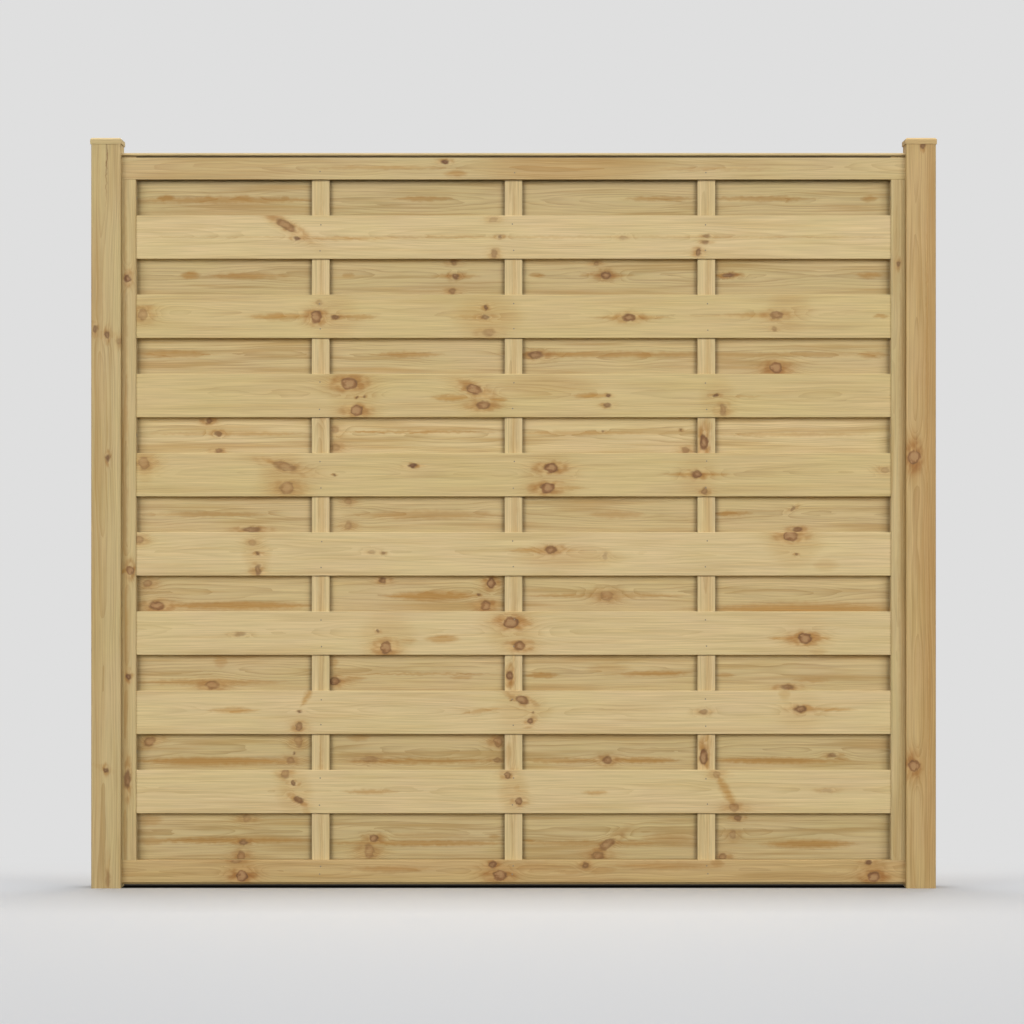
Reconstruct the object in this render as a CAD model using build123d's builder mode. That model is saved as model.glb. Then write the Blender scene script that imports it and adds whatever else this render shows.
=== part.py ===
"""Hit-and-miss garden fence panel: a slatted softwood panel hung between two capped posts.

X runs along the fence, -Y is the front face and Z is up. The origin lies on the ground, midway
between the posts. All sizes are in millimetres.

The panel is a sandwich. A core frame of flat battens carries the front slats on one face and the
back slats, set over the front gaps, on the other. Cover rails and rebated stiles finish both faces.
"""

import os

from build123d import *

# Panel width and the five upright lines of the core
panel_width = 1800.0
stile_width = 33.0
batten_width = 40.0
batten_count = 3

# Layers of the sandwich, counted outwards from the middle
core_thickness = 14.0
slat_thickness = 7.0
stile_lip = 4.0

# Slats, from the bottom rail upwards
slat_count = 8
slat_height = 100.0
slat_gap = 82.0
slat_lap = 9.0
bottom_gap = 107.0
slat_cover = 11.0
slat_end_clearance = 1.0

# Rails and the capping strip above them
ground_clearance = 7.5
bottom_rail_height = 55.5
bottom_rail_chamfer = 5.5
top_rail_height = 50.0
core_rail_height = 45.0
shadow_slot = 5.0
capping_thickness = 6.0

# Posts and their caps
post_side = 68.0
post_reveal = 19.0
cap_overhang = 2.0
cap_thickness = 14.0
cap_chamfer = 3.5

# Rounded arrises left by the planer
slat_arris = 1.6
frame_arris = 1.5
capping_arris = 1.8
post_arris = 2.0

# Countersunk screws that hold the core to the posts
screw_length = 70.0
screw_radius = 2.5
screw_head_radius = 5.0
screw_tip = 8.0
screw_clearance = 0.15

# Levels, from the ground up
bottom_rail_top = ground_clearance + bottom_rail_height
slat_pitch = slat_height + slat_gap
last_slat_bottom = bottom_rail_top + bottom_gap
first_slat_top = last_slat_bottom + slat_count * slat_pitch - slat_gap
top_rail_bottom = first_slat_top + slat_gap
top_rail_top = top_rail_bottom + top_rail_height
core_top = top_rail_top + shadow_slot
capping_top = core_top + capping_thickness
post_height = capping_top + post_reveal

# Sizes that follow from the layers and the width
cover_thickness = slat_thickness + stile_lip
panel_depth = core_thickness + 2 * cover_thickness
half_width = panel_width / 2
core_inner = half_width - stile_width
rebate_width = slat_cover + slat_end_clearance
slat_length = 2 * (core_inner + slat_cover)
bay_width = (2 * core_inner - batten_count * batten_width) / (batten_count + 1)
batten_pitch = bay_width + batten_width
batten_bottom = ground_clearance + core_rail_height
batten_top = core_top - core_rail_height
back_slat_height = slat_gap + 2 * slat_lap
post_centre = half_width + post_side / 2
cap_side = post_side + 2 * cap_overhang

# Bays that take a screw, counted down from the top: the first, the middle and the last
screw_bays = (0, slat_count // 2 - 1, slat_count - 1)

FRONT, BACK = -1, 1
LEFT, RIGHT = -1, 1
face_names = {FRONT: "front", BACK: "back"}
side_names = {LEFT: "left", RIGHT: "right"}

os.makedirs("parts", exist_ok=True)


def save(piece, name):
    """Labels a finished piece and writes it to its own file."""
    piece.label = name
    export_step(piece, f"parts/{name}.step")


def flat_board(name, face, bottom, height, thickness, length, arris):
    """A planed board laid along X on one face of the core, with four rounded arrises."""
    with BuildPart() as board:
        with BuildSketch(Plane.YZ.offset(-length / 2)):
            with Locations((face * (core_thickness + thickness) / 2, bottom + height / 2)):
                RectangleRounded(thickness, height, arris)
        extrude(amount=length)
    save(board.part, name)


def bottom_rail(face):
    """The lowest cover rail, its outer foot chamfered so that rain drips clear of the core."""
    with BuildPart() as rail:
        with BuildSketch(Plane.YZ.offset(-half_width)) as section:
            middle = ground_clearance + bottom_rail_height / 2
            with Locations((face * (core_thickness + cover_thickness) / 2, middle)):
                Rectangle(cover_thickness, bottom_rail_height)
            outer_corners = section.vertices().sort_by(Axis.X)[-2:] if face == BACK else (
                section.vertices().sort_by(Axis.X)[:2]
            )
            chamfer(outer_corners.sort_by(Axis.Y)[0], length=bottom_rail_chamfer)
            fillet(section.vertices().group_by(Axis.Y)[-1], radius=frame_arris)
        extrude(amount=panel_width)
    save(rail.part, f"{face_names[face]}_bottom_rail")


def stile(face, side):
    """An upright cover strip, rebated behind its inner edge to take the ends of the slats."""
    with BuildPart() as strip:
        with BuildSketch(Plane.XY.offset(bottom_rail_top)) as section:
            strip_middle = side * (half_width - stile_width / 2)
            rebate_middle = side * (core_inner + rebate_width / 2)
            with Locations((strip_middle, face * (core_thickness + cover_thickness) / 2)):
                Rectangle(stile_width, cover_thickness)
            with Locations((rebate_middle, face * (core_thickness + slat_thickness) / 2)):
                Rectangle(rebate_width, slat_thickness, mode=Mode.SUBTRACT)
            outer_edge = section.vertices().group_by(Axis.Y)[-1 if face == BACK else 0]
            fillet(outer_edge, radius=frame_arris)
        extrude(amount=top_rail_bottom - bottom_rail_top)
    save(strip.part, f"{face_names[face]}_{side_names[side]}_stile")


def screw_planes(side):
    """Where the screws enter the end batten, in bays that the front slats leave open."""
    for bay in screw_bays:
        level = first_slat_top - bay * slat_pitch + slat_gap / 2
        yield Plane((side * core_inner, 0, level), x_dir=(0, 1, 0), z_dir=(-side, 0, 0))


def end_batten(side):
    """The outermost core upright, screwed through its edge into the post beside it."""
    with BuildPart() as batten:
        with BuildSketch(Plane.XY.offset(ground_clearance)):
            with Locations((side * (half_width - stile_width / 2), 0)):
                Rectangle(stile_width, core_thickness)
        extrude(amount=core_top - ground_clearance)
        with Locations(*screw_planes(side)):
            CounterSinkHole(
                radius=screw_radius + screw_clearance,
                counter_sink_radius=screw_head_radius + screw_clearance,
                counter_sink_angle=90,
            )
    save(batten.part, f"{side_names[side]}_end_batten")


def core_upright(number):
    """One of the inner battens, standing between the two core rails."""
    place = (number - (batten_count + 1) / 2) * batten_pitch
    with BuildPart() as batten:
        with BuildSketch(Plane.XY.offset(batten_bottom)):
            with Locations((place, 0)):
                Rectangle(batten_width, core_thickness)
        extrude(amount=batten_top - batten_bottom)
    save(batten.part, f"batten_{number}")


def core_rail(name, bottom):
    """A flat rail between the end battens, hidden behind the cover rails."""
    with BuildPart() as rail:
        with BuildSketch(Plane.XY.offset(bottom)):
            Rectangle(2 * core_inner, core_thickness)
        extrude(amount=core_rail_height)
    save(rail.part, name)


def post(side):
    """A planed square post, bored for the screws that carry the panel."""
    bore_depth = screw_length - stile_width + screw_clearance
    with BuildPart() as upright:
        with BuildSketch():
            with Locations((side * post_centre, 0)):
                RectangleRounded(post_side, post_side, post_arris)
        extrude(amount=post_height)
        with Locations(*(plane.offset(-stile_width) for plane in screw_planes(side))):
            Hole(radius=screw_radius + screw_clearance, depth=bore_depth)
    save(upright.part, f"{side_names[side]}_post")


def post_cap(side):
    """A flat cap a little wider than its post, with a chamfer round its top."""
    with BuildPart() as cap:
        with BuildSketch(Plane.XY.offset(post_height)):
            with Locations((side * post_centre, 0)):
                Rectangle(cap_side, cap_side)
        extrude(amount=cap_thickness)
        chamfer(cap.edges().group_by(Axis.Z)[-1], length=cap_chamfer)
    save(cap.part, f"{side_names[side]}_post_cap")


def fixing_screws(side):
    """The countersunk screws of one end, driven through the end batten into the post."""
    head_depth = screw_head_radius - screw_radius
    with BuildPart() as screws:
        for plane in screw_planes(side):
            with BuildSketch(Plane(plane.origin, x_dir=(side, 0, 0), z_dir=(0, -1, 0))):
                with BuildLine():
                    Polyline(
                        (0, 0),
                        (0, screw_head_radius),
                        (head_depth, screw_radius),
                        (screw_length - screw_tip, screw_radius),
                        (screw_length, 0),
                        close=True,
                    )
                make_face()
            revolve(axis=Axis(plane.origin, (side, 0, 0)))
    save(screws.part, f"{side_names[side]}_fixing_screws")


# Core frame
core_rail("core_top_rail", batten_top)
core_rail("core_bottom_rail", ground_clearance)
for number in range(1, batten_count + 1):
    core_upright(number)

# Cover rails and stiles of both faces
for face in (FRONT, BACK):
    flat_board(
        f"{face_names[face]}_top_rail",
        face,
        top_rail_bottom,
        top_rail_height,
        cover_thickness,
        panel_width,
        frame_arris,
    )
    bottom_rail(face)
    for side in (LEFT, RIGHT):
        stile(face, side)

# Front slats, numbered from the top
for number in range(1, slat_count + 1):
    bottom = first_slat_top - slat_height - (number - 1) * slat_pitch
    name = f"front_slat_{number}"
    flat_board(name, FRONT, bottom, slat_height, slat_thickness, slat_length, slat_arris)

# Back slats: one under the rail, one over each gap between front slats, and a wider one at the foot
back_levels = [(top_rail_bottom - back_slat_height, back_slat_height)]
for number in range(1, slat_count):
    gap_bottom = first_slat_top - number * slat_pitch
    back_levels.append((gap_bottom - slat_lap, back_slat_height))
back_levels.append((bottom_rail_top, bottom_gap + slat_lap))
for number, (bottom, height) in enumerate(back_levels, start=1):
    name = f"back_slat_{number}"
    flat_board(name, BACK, bottom, height, slat_thickness, slat_length, slat_arris)

# Capping strip along the top of the core
with BuildPart() as capping:
    with BuildSketch(Plane.YZ.offset(-half_width)):
        with Locations((0, core_top + capping_thickness / 2)):
            RectangleRounded(panel_depth, capping_thickness, capping_arris)
    extrude(amount=panel_width)
save(capping.part, "top_capping")

# Posts, their caps and the fixings of both ends
for side in (LEFT, RIGHT):
    post(side)
    post_cap(side)
    end_batten(side)
    fixing_screws(side)
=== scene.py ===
# %% [markdown]
# This lesson dresses one bay of a hit-and-miss garden fence: a slatted softwood panel between two
# capped posts. The construction comes from the CAD frame, so every board already has its real size
# and place. What is left for Blender is the look of the timber, the nails and the light.

# %% Load the frame
import math
import random

import bmesh
import bpy
from mathutils import Euler, Matrix, Vector


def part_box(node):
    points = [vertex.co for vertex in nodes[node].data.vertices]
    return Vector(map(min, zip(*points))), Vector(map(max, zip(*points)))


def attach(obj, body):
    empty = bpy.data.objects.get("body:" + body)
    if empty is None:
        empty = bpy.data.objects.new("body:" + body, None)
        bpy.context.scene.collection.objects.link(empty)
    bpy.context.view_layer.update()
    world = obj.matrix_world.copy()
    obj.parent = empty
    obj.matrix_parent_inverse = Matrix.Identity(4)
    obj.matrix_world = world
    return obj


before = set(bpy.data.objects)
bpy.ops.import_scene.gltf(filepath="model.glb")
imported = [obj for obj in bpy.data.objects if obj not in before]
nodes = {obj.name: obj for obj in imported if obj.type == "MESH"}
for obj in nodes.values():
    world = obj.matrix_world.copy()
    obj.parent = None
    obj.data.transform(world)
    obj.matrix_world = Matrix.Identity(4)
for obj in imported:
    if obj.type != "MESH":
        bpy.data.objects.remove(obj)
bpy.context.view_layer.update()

# %% [markdown]
# Colours are easier to judge as sRGB hex values, as any paint program shows them. Shaders work with
# linear light, so one function turns the first into the second, and it is used everywhere.


# %% Colour helper
def linear(hex_value):
    """Turns an sRGB colour such as "#C8B482" into the linear RGBA that a shader socket takes."""
    channels = [int(hex_value[place:place + 2], 16) / 255 for place in (1, 3, 5)]
    return [c / 12.92 if c <= 0.04045 else ((c + 0.055) / 1.055) ** 2.4 for c in channels] + [1.0]


# %% [markdown]
# The picture is a straight front view from about eight metres, at half the height of the fence, so
# the perspective is slight. A long lens does that. The lens is worked out from the size of a pixel at
# the post faces, because that is the size that was measured.

# %% Camera
picture_pixels = 1024
sensor_width_mm = 36.0
millimetres_per_pixel = 2.2915
distance_to_posts = 7.8
eye_height = 0.8626
camera_shift = -0.0035

post_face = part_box("left_post")[0].y
lens = distance_to_posts * 1000 * sensor_width_mm / (picture_pixels * millimetres_per_pixel)
camera_data = bpy.data.cameras.new("front_camera")
camera_data.sensor_width = sensor_width_mm
camera_data.lens = lens
camera = bpy.data.objects.new("front_camera", camera_data)
camera.location = (camera_shift, post_face - distance_to_posts, eye_height)
camera.rotation_euler = (math.radians(90), 0, 0)
bpy.context.scene.collection.objects.link(camera)
bpy.context.scene.camera = camera
bpy.context.scene.view_settings.view_transform = "Standard"
print("lens", round(lens, 1), "mm")

# %% [markdown]
# One small function adds a node, sets its properties and fills or links its inputs. With it a shader
# reads from top to bottom like a recipe. A second one starts an empty material, because the place on
# the object is the first thing that every material here asks for.


# %% Node helpers
def add(tree, kind, inputs=None, **settings):
    """Adds a shader node with its settings. An input takes a value or the socket that feeds it."""
    node = tree.nodes.new(kind if kind.startswith("NodeGroup") else "ShaderNode" + kind)
    for name, value in settings.items():
        setattr(node, name, value)
    for name, value in (inputs or {}).items():
        if isinstance(value, bpy.types.NodeSocket):
            tree.links.new(value, node.inputs[name])
        else:
            node.inputs[name].default_value = value
    return node


def new_material(name):
    """Starts an empty material, and returns it with its node tree and the place on the object."""
    material = bpy.data.materials.new(name)
    material.use_nodes = True
    material.node_tree.nodes.clear()
    place = add(material.node_tree, "TexCoord").outputs["Object"]
    return material, material.node_tree, place


# %% [markdown]
# The studio is a pale grey floor that runs into an equally pale backdrop. The world lights the fence
# faintly from all round, and what the camera sees of it directly is the backdrop's own tone.

# %% Backdrop
backdrop_tone = linear("#DFDFDF")
sky_strength = 0.08

world = bpy.data.worlds.new("studio")
bpy.context.scene.world = world
world.use_nodes = True
sky = world.node_tree
sky.nodes.clear()
ray = add(sky, "LightPath").outputs
seen = add(sky, "Math", {0: ray["Is Camera Ray"], 1: ray["Is Glossy Ray"]}, operation="MAXIMUM")
light = add(sky, "Background", {"Color": (1, 1, 1, 1), "Strength": sky_strength})
tone = add(sky, "Background", {"Color": backdrop_tone, "Strength": 1.0})
choice = add(sky, "MixShader", {0: seen.outputs[0], 1: light.outputs[0], 2: tone.outputs[0]})
add(sky, "OutputWorld", {"Surface": choice.outputs[0]})
print("sky strength", sky_strength)

# %% [markdown]
# Behind the fence and far from it the floor fades into the backdrop's tone, so no horizon shows. The
# camera sees the paper almost white. To all other rays it is darker, because a white floor would light
# the undersides of the slats and wash out their shadows. The low gap under the panel gets next to no
# light, so the paper is darkened there.

# %% Floor
seen_floor, lighting_floor, unlit_floor = linear("#E8E9EB"), linear("#6A665E"), linear("#2A2926")
floor_half_size = 12

floor_mesh = bpy.data.meshes.new("studio_floor")
sheet = bmesh.new()
bmesh.ops.create_grid(sheet, x_segments=1, y_segments=1, size=floor_half_size)
sheet.to_mesh(floor_mesh)
sheet.free()
floor = bpy.data.objects.new("studio_floor", floor_mesh)
bpy.context.scene.collection.objects.link(floor)

# Matt paper from a wide studio roll
paper, tree, place = new_material("matt_studio_paper")
floor_mesh.materials.append(paper)
parts = add(tree, "SeparateXYZ", {0: place}).outputs
behind = parts["Y"]
from_middle = add(tree, "Math", {0: parts["X"]}, operation="ABSOLUTE").outputs[0]
away = add(tree, "VectorMath", {0: place}, operation="LENGTH").outputs["Value"]

# Each soft step goes from 0 at its first place to 1 at its second, in metres
STEPS = {
    "behind the fence": (behind, 0.12, 0.6),
    "far from it": (away, 2.4, 5.0),
    "ends of the gap": (from_middle, 0.95, 0.91),
    "front of the gap": (behind, -0.038, -0.016),
    "back of the gap": (behind, 0.13, 0.035),
}
steps = {}
for title, (value, start, end) in STEPS.items():
    limits = {"Value": value, "From Min": start, "From Max": end}
    steps[title] = add(tree, "MapRange", limits, interpolation_type="SMOOTHSTEP").outputs[0]
fades = {0: steps["behind the fence"], 1: steps["far from it"]}
fade = add(tree, "Math", fades, operation="MAXIMUM").outputs[0]
gap = steps["ends of the gap"]
for title in ("front of the gap", "back of the gap"):
    gap = add(tree, "Math", {0: gap, 1: steps[title]}, operation="MULTIPLY").outputs[0]

seen = add(tree, "LightPath").outputs["Is Camera Ray"]
hidden = add(tree, "Math", {0: fade, 1: seen}, operation="MULTIPLY").outputs[0]
tones = {0: seen, 6: lighting_floor, 7: seen_floor}
colour = add(tree, "Mix", tones, data_type="RGBA").outputs[2]
colour = add(tree, "Mix", {0: gap, 6: colour, 7: unlit_floor}, data_type="RGBA").outputs[2]
matt = add(tree, "BsdfDiffuse", {"Color": colour})
glow = add(tree, "Emission", {"Color": backdrop_tone, "Strength": 1.0})
surface = add(tree, "MixShader", {0: hidden, 1: matt.outputs[0], 2: glow.outputs[0]})
add(tree, "OutputMaterial", {"Surface": surface.outputs[0]})
print("floor", 2 * floor_half_size, "m wide with", len(STEPS), "soft steps")

# %% [markdown]
# Two large soft lamps stand in front of the fence, to both sides and above its middle. Their light
# comes in at a slant, so each step between two boards has a soft dark line beside it, and that is how
# the eye reads the layers. A third lights the back, without a glare on the sides of the posts. In a
# studio, flags keep such lamps off the floor, and here light linking does it. The floor is lit from
# above, which draws the shadow at the foot.

# %% Lamps
panel_middle = Vector((0, 0, 0.86))
# Place, width and height in metres, and power in watts
LAMPS = {
    "left_soft_box": ((-8.2, -12.6, 5.0), 11.0, 6.5, 1430),
    "right_soft_box": ((8.2, -12.6, 5.0), 11.0, 6.5, 1430),
    "back_soft_box": ((4.0, 13.4, 5.5), 11.5, 6.5, 2200),
    "top_soft_box": ((0.0, 0.6, 14.0), 6.0, 6.0, 1600),
}
flags = bpy.data.collections.new("kept_off_the_floor")
flags.objects.link(floor)
flags.collection_objects[0].light_linking.link_state = "EXCLUDE"
for name, (position, width, height, watts) in LAMPS.items():
    lamp_data = bpy.data.lights.new(name, "AREA")
    lamp_data.shape = "RECTANGLE"
    lamp_data.size = width
    lamp_data.size_y = height
    lamp_data.energy = watts
    lamp = bpy.data.objects.new(name, lamp_data)
    lamp.location = position
    lamp.visible_camera = False
    aim = panel_middle - lamp.location
    lamp.rotation_euler = aim.to_track_quat("-Z", "Y").to_euler()
    bpy.context.scene.collection.objects.link(lamp)
    lamp.visible_glossy = name != "back_soft_box"
    if name != "top_soft_box":
        lamp.light_linking.receiver_collection = flags
    print(name, round(aim.length, 2), "m from the middle of the panel")

# %% [markdown]
# Wood has a direction, so nearly all its patterns are noise that is stretched along the grain. One
# function makes such a noise from the size of its streaks in millimetres: along the board, through it
# and across it. The values swing about zero.

# %% Streaks
THROUGH = 1e6


def streaks(tree, place, seed, size, detail=2):
    """Noise stretched to streaks of the given size in millimetres, with values about zero."""
    scale = [1 / length for length in size]
    spread = add(tree, "VectorMath", {0: place, 1: scale, 2: seed}, operation="MULTIPLY_ADD")
    return add(
        tree,
        "TexNoise",
        {"Vector": spread.outputs[0], "Scale": 1, "Detail": detail},
        normalize=False,
    ).outputs


# %% [markdown]
# A knot is where a branch left the trunk. On a flat-sawn board it shows as an oval with a dark rim,
# and the growth rings flow round it. One node group measures a knot. Its fields are three numbers in
# one vector: the rise of the rings, the depth inside the oval in millimetres, and how strongly the
# oval marks the wood. A fourth is the halo of resin round it. The knots of a board are chained, and
# each keeps the larger values.


# %% Knot group
def new_group(name, inputs, results):
    """Starts a node group with the given inputs and results, and returns it with its input sockets."""
    group = bpy.data.node_groups.new(name, "ShaderNodeTree")
    for title, kind in inputs.items():
        group.interface.new_socket(title, in_out="INPUT", socket_type="NodeSocket" + kind)
    for title, kind in results.items():
        group.interface.new_socket(title, in_out="OUTPUT", socket_type="NodeSocket" + kind)
    return group, add(group, "NodeGroupInput").outputs


def own_frame(group, given):
    """A point's offset from the mark's centre, turned by its lean and counted in its half sizes."""
    offset = add(group, "VectorMath", {0: given["Place"], 1: given["Centre"]}, operation="SUBTRACT")
    turned = add(
        group,
        "VectorRotate",
        {"Vector": offset.outputs[0], "Angle": given["Lean"]},
        rotation_type="Y_AXIS",
    )
    scaled = add(group, "VectorMath", {0: turned.outputs[0], 1: given["Half size"]}, operation="DIVIDE")
    return scaled.outputs[0]


MARK = {"Place": "Vector", "Centre": "Vector", "Half size": "Vector", "Lean": "Float", "Strength": "Float"}
knot_group, given = new_group(
    "knot",
    {"Fields": "Vector", "Halo": "Float", **MARK},
    {"Fields": "Vector", "Halo": "Float"},
)
scaled = own_frame(knot_group, given)
distance = add(knot_group, "VectorMath", {0: scaled}, operation="LENGTH").outputs["Value"]
half = add(knot_group, "SeparateXYZ", {0: given["Half size"]}).outputs
size = add(knot_group, "Math", {0: half["X"], 1: half["Z"]}, operation="MINIMUM").outputs[0]
share = add(knot_group, "Math", {0: 1.0, 1: distance}, operation="SUBTRACT").outputs[0]
depth = add(knot_group, "Math", {0: share, 1: size}, operation="MULTIPLY").outputs[0]
mark = add(
    knot_group,
    "MapRange",
    {"Value": depth, "From Min": -2.6, "From Max": 2.2, "To Max": given["Strength"]},
    interpolation_type="SMOOTHSTEP",
).outputs[0]
spread = add(knot_group, "VectorMath", {0: scaled, 1: (0.3, 0, 0.55)}, operation="MULTIPLY").outputs[0]
square = add(knot_group, "VectorMath", {0: spread, 1: spread}, operation="DOT_PRODUCT").outputs["Value"]
fall = add(knot_group, "Math", {0: 0.37, 1: square}, operation="POWER").outputs[0]
rise = add(knot_group, "Math", {0: fall, 1: size}, operation="MULTIPLY").outputs[0]
halo = add(
    knot_group,
    "MapRange",
    {"Value": square, "From Min": 1.1, "From Max": 0.1, "To Max": given["Strength"]},
    interpolation_type="SMOOTHSTEP",
).outputs[0]
own = add(knot_group, "CombineXYZ", {"X": rise, "Y": depth, "Z": mark}).outputs[0]
larger = add(knot_group, "VectorMath", {0: given["Fields"], 1: own}, operation="MAXIMUM").outputs[0]
wider = add(knot_group, "Math", {0: given["Halo"], 1: halo}, operation="MAXIMUM").outputs[0]
add(knot_group, "NodeGroupOutput", {"Fields": larger, "Halo": wider})
print("knot group has", len(knot_group.nodes), "nodes")

# %% [markdown]
# A flame is the long pointed patch of resin-rich orange wood that runs with the grain, often out of a
# knot. It is a lens: full in the middle, and thinner towards its two tips.

# %% Flame group
flame_group, given = new_group("flame", {"Level": "Float", **MARK}, {"Level": "Float"})
scaled = own_frame(flame_group, given)
folded = add(flame_group, "VectorMath", {0: scaled}, operation="ABSOLUTE").outputs[0]
parts = add(flame_group, "SeparateXYZ", {0: folded}).outputs
edge = add(
    flame_group,
    "Math",
    {0: parts["X"], 1: parts["X"], 2: parts["Z"]},
    operation="MULTIPLY_ADD",
).outputs[0]
inside = add(
    flame_group,
    "MapRange",
    {"Value": edge, "From Min": 1.9, "From Max": 0.2, "To Max": given["Strength"]},
    interpolation_type="SMOOTHSTEP",
).outputs[0]
larger = add(flame_group, "Math", {0: given["Level"], 1: inside}, operation="MAXIMUM").outputs[0]
add(flame_group, "NodeGroupOutput", {"Level": larger})
print("flame group has", len(flame_group.nodes), "nodes")

# %% [markdown]
# Pale earlywood and darker latewood follow each other in rings about a pith line that runs along the
# board, a little behind its face. Because that line wanders, the rings leave long lines that draw
# together and part again. Round a knot they are lifted. The rings are worked out in three dimensions,
# so the ends and edges of a board agree with its face.

# %% Growth ring group
ring_group, given = new_group(
    "growth_rings",
    {"Place": "Vector", "Seed": "Vector", "Pith": "Vector", "Ring width": "Float", "Rise": "Float"},
    {"Latewood": "Float"},
)
place, seed = given["Place"], given["Seed"]
drift = streaks(ring_group, place, seed, (520, THROUGH, THROUGH))["Color"]
pith = add(
    ring_group,
    "VectorMath",
    {0: drift, 1: (0, 9, 9), 2: given["Pith"]},
    operation="MULTIPLY_ADD",
).outputs[0]
out = add(ring_group, "VectorMath", {0: place, 1: (0, 1, 1), 2: pith}, operation="MULTIPLY_ADD").outputs[0]
radius = add(ring_group, "VectorMath", {0: out}, operation="LENGTH").outputs["Value"]
wave = streaks(ring_group, place, seed, (110, 15, 15))[0]
radius = add(ring_group, "Math", {0: wave, 1: 1.2, 2: radius}, operation="MULTIPLY_ADD").outputs[0]
radius = add(ring_group, "Math", {0: radius, 1: given["Rise"]}, operation="ADD").outputs[0]
count = add(ring_group, "Math", {0: radius, 1: given["Ring width"]}, operation="DIVIDE").outputs[0]
years = add(
    ring_group,
    "TexNoise",
    {"W": count, "Scale": 0.45, "Detail": 1},
    noise_dimensions="1D",
    normalize=False,
).outputs[0]
count = add(ring_group, "Math", {0: years, 1: 0.9, 2: count}, operation="MULTIPLY_ADD").outputs[0]
year = add(ring_group, "Math", {0: count}, operation="FRACT").outputs[0]
late = add(ring_group, "Math", {0: year, 1: 2.2}, operation="POWER").outputs[0]
add(ring_group, "NodeGroupOutput", {"Latewood": late})
print("growth ring group has", len(ring_group.nodes), "nodes")

# %% [markdown]
# All tones of a board follow from its average colour. Latewood, heartwood and resin are that colour
# with less blue and green in it, as amber glass would make it. The tint lets one stretch of a board
# lean to green, from the treatment, and the next to pink.

# %% Clear wood group
wood_group, given = new_group(
    "clear_wood",
    {
        "Wood": "Color",
        "Latewood": "Float",
        "Contrast": "Float",
        "Heart": "Float",
        "Band": "Float",
        "Tint": "Float",
        "Fibre": "Float",
        "Flame": "Float",
        "Pull": "Float",
    },
    {"Color": "Color"},
)
wood, late, band = given["Wood"], given["Latewood"], given["Band"]
TONES = {
    "earlywood": (1.05, 1.05, 1.08),
    "latewood": (0.76, 0.68, 0.54),
    "heartwood": (0.79, 0.67, 0.49),
    "resin": (0.73, 0.51, 0.23),
}
tones = {}
for title, filter_colour in TONES.items():
    inputs = {0: wood, 1: filter_colour}
    tones[title] = add(wood_group, "VectorMath", inputs, operation="MULTIPLY").outputs[0]
amount = add(
    wood_group,
    "Math",
    {0: band, 1: 0.5, 2: 0.65},
    operation="MULTIPLY_ADD",
    use_clamp=True,
).outputs[0]
amount = add(wood_group, "Math", {0: amount, 1: given["Contrast"]}, operation="MULTIPLY").outputs[0]
amount = add(wood_group, "Math", {0: amount, 1: late}, operation="MULTIPLY").outputs[0]
colour = add(
    wood_group,
    "Mix",
    {0: amount, 6: tones["earlywood"], 7: tones["latewood"]},
    data_type="RGBA",
).outputs[2]
warm = add(
    wood_group,
    "MapRange",
    {"Value": band, "From Min": 0.0, "From Max": 0.7, "To Max": given["Heart"]},
).outputs[0]
colour = add(wood_group, "Mix", {0: warm, 6: colour, 7: tones["heartwood"]}, data_type="RGBA").outputs[2]
green = add(
    wood_group,
    "Math",
    {0: given["Tint"], 1: 0.9, 2: 0.5},
    operation="MULTIPLY_ADD",
    use_clamp=True,
).outputs[0]
tint = add(
    wood_group,
    "Mix",
    {0: green, 6: (1.01, 0.99, 1.02, 1), 7: (0.995, 1.005, 0.97, 1)},
    data_type="RGBA",
).outputs[2]
colour = add(wood_group, "VectorMath", {0: colour, 1: tint}, operation="MULTIPLY").outputs[0]
lines = add(wood_group, "Math", {0: late, 1: 0.5, 2: 0.92}, operation="MULTIPLY_ADD").outputs[0]
burn = add(wood_group, "Math", {0: given["Flame"], 1: given["Pull"]}, operation="MAXIMUM").outputs[0]
burn = add(wood_group, "Math", {0: lines, 1: burn}, operation="MULTIPLY", use_clamp=True).outputs[0]
colour = add(wood_group, "Mix", {0: burn, 6: colour, 7: tones["resin"]}, data_type="RGBA").outputs[2]
shade = add(wood_group, "Math", {0: given["Fibre"], 1: 0.14, 2: 1.0}, operation="MULTIPLY_ADD").outputs[0]
colour = add(wood_group, "VectorMath", {0: colour, "Scale": shade}, operation="SCALE").outputs[0]
add(wood_group, "NodeGroupOutput", {"Color": colour})
print("clear wood group has", len(wood_group.nodes), "nodes")

# %% [markdown]
# Over the clear wood come the knots. Resin stains the wood round a knot on one side and leaves it paler
# on the other. The oval is brown with a paler heart, and a small one is dense and dark. It has rings
# of its own, and its dark rim comes and goes, because bark was trapped in places only.

# %% Knotty wood group
knotty_group, given = new_group(
    "knotty_wood",
    {"Clear": "Color", "Fields": "Vector", "Halo": "Float", "Patch": "Float", "Blotch": "Float"},
    {"Color": "Color"},
)
parts = add(knotty_group, "SeparateXYZ", {0: given["Fields"]}).outputs
rise, depth, mark = parts["X"], parts["Y"], parts["Z"]
clear, blotch = given["Clear"], given["Blotch"]
stained, bleached = (0.74, 0.54, 0.29), (1.1, 1.1, 1.15)
stain = add(knotty_group, "VectorMath", {0: clear, 1: stained}, operation="MULTIPLY").outputs[0]
pale = add(knotty_group, "VectorMath", {0: clear, 1: bleached}, operation="MULTIPLY").outputs[0]
sided = add(
    knotty_group,
    "MapRange",
    {"Value": blotch, "From Min": -0.5, "From Max": 0.4},
    interpolation_type="SMOOTHSTEP",
).outputs[0]
around = add(knotty_group, "Mix", {0: sided, 6: pale, 7: stain}, data_type="RGBA").outputs[2]
colour = add(knotty_group, "Mix", {0: given["Halo"], 6: clear, 7: around}, data_type="RGBA").outputs[2]
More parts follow.
